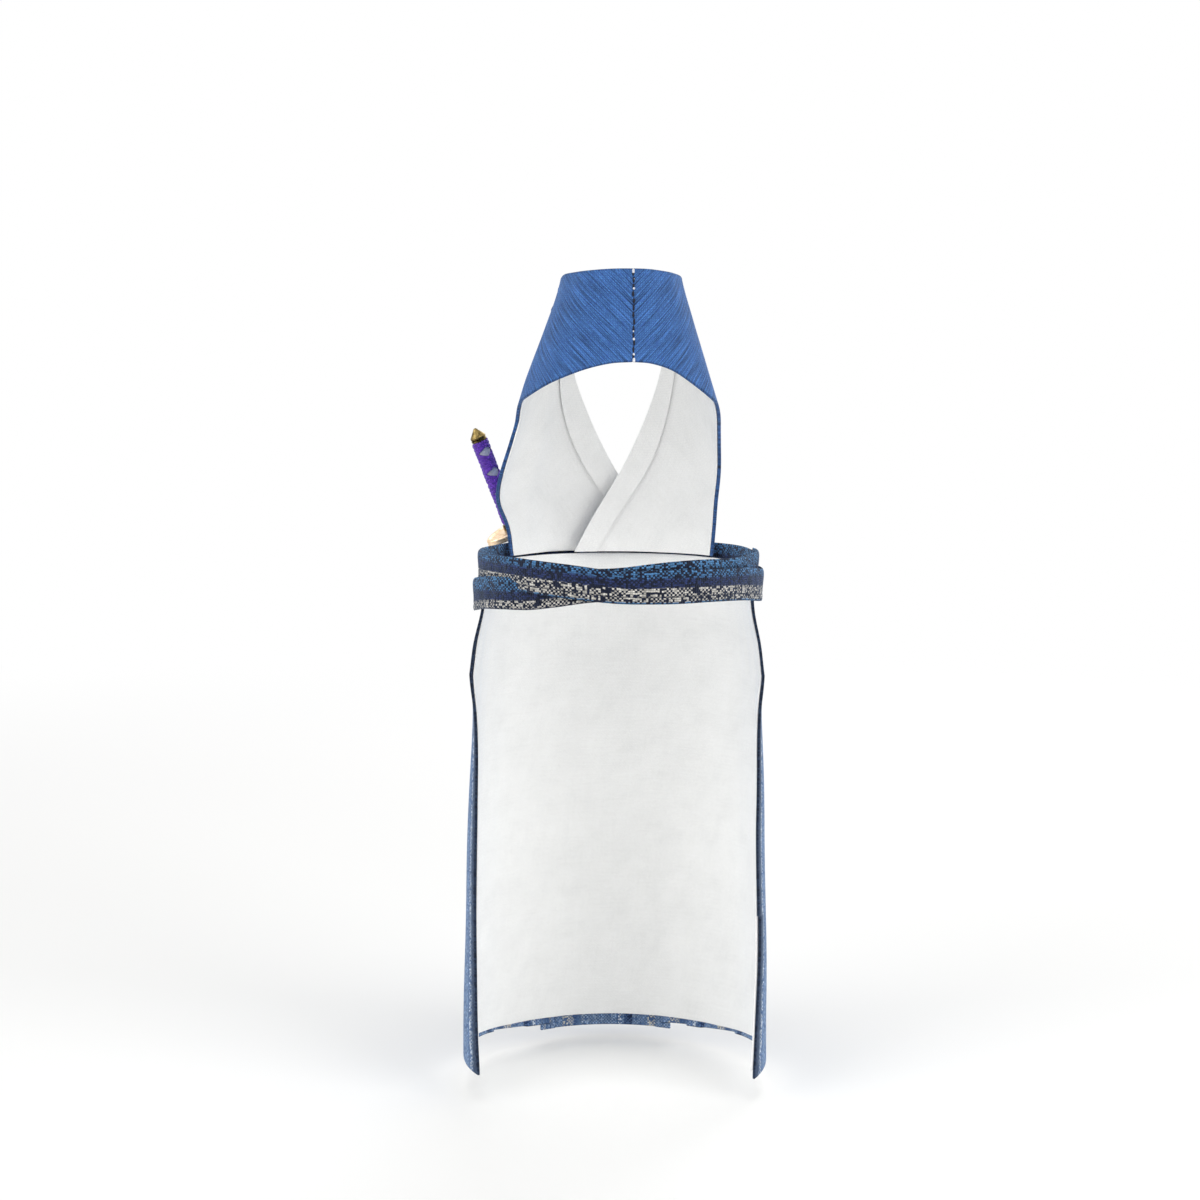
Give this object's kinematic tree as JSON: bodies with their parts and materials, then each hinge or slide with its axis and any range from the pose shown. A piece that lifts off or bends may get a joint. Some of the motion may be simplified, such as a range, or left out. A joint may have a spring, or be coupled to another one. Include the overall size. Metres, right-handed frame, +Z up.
{
  "type": "bottle cover",
  "caption": "Cloth cover for a sake bottle in the form of a warrior's dress: blue jacket closing left over right, pleated striped skirt, knotted striped belt and a small sword that draws.",
  "frame": {"origin": "centre of the neck opening at the collar's top edge, where the bottle's neck holds the cover up", "axes": "+Z up along the bottle's axis, +Y towards the wearer's front (the side with the lapped collar, knot and centre pleat), -X towards the wearer's left (the side with the sword)"},
  "size_m": [0.091, 0.0919, 0.2379],
  "materials": {
    "blue_slub_cloth": "matt slub cotton",
    "white_lining": "matt cotton lawn",
    "white_thread": "matt thread",
    "striped_skirt_cloth": "matt yarn-dyed stripes",
    "striped_belt_cloth": "matt woven band with a speckled stripe",
    "black_lacquer": "gloss black lacquer",
    "dark_horn": "polished",
    "pale_gold_plate": "pale gold plate with a fine relief",
    "blade_steel": "polished along its length",
    "aged_brass": "worn",
    "pale_ray_skin": "fine grain",
    "purple_silk_cord": "wound flat silk cord"
  },
  "bodies": {
    "cover": {"jacket_left": "blue_slub_cloth", "jacket_right": "blue_slub_cloth", "neckline_strip_left": "blue_slub_cloth", "neckline_strip_right": "blue_slub_cloth", "jacket_lining_left": "white_lining", "jacket_lining_right": "white_lining", "inner_collar_left": "white_lining", "inner_collar_right": "white_lining", "skirt_lining": "white_lining", "back_seam_stitches": "white_thread", "skirt_panel_left": "striped_skirt_cloth", "skirt_panel_right": "striped_skirt_cloth", "skirt_centre_pleat": "striped_skirt_cloth", "waistband": "striped_belt_cloth", "belt_tie_a": "striped_belt_cloth", "belt_tie_b": "striped_belt_cloth", "tie_knot": "striped_belt_cloth", "tie_end_left": "striped_belt_cloth", "tie_end_right": "striped_belt_cloth"},
    "scabbard": {"scabbard": "black_lacquer", "scabbard_mouth_ring": "dark_horn", "scabbard_tip_cap": "dark_horn"},
    "sword": {"guard": "pale_gold_plate", "blade": "blade_steel", "blade_collar": "aged_brass", "hilt_collar": "aged_brass", "hilt_core": "pale_ray_skin", "hilt_wrap": "purple_silk_cord", "pommel_cap": "aged_brass"}
  },
  "joints": [
    {"name": "scabbard_pull", "type": "slide", "parent": "cover", "child": "scabbard", "axis": [-0.342, -0.196, 0.919], "range_m": [0, 0.088]},
    {"name": "sword_draw", "type": "slide", "parent": "scabbard", "child": "sword", "axis": [-0.342, -0.196, 0.919], "range_m": [0, 0.083]}
  ]
}
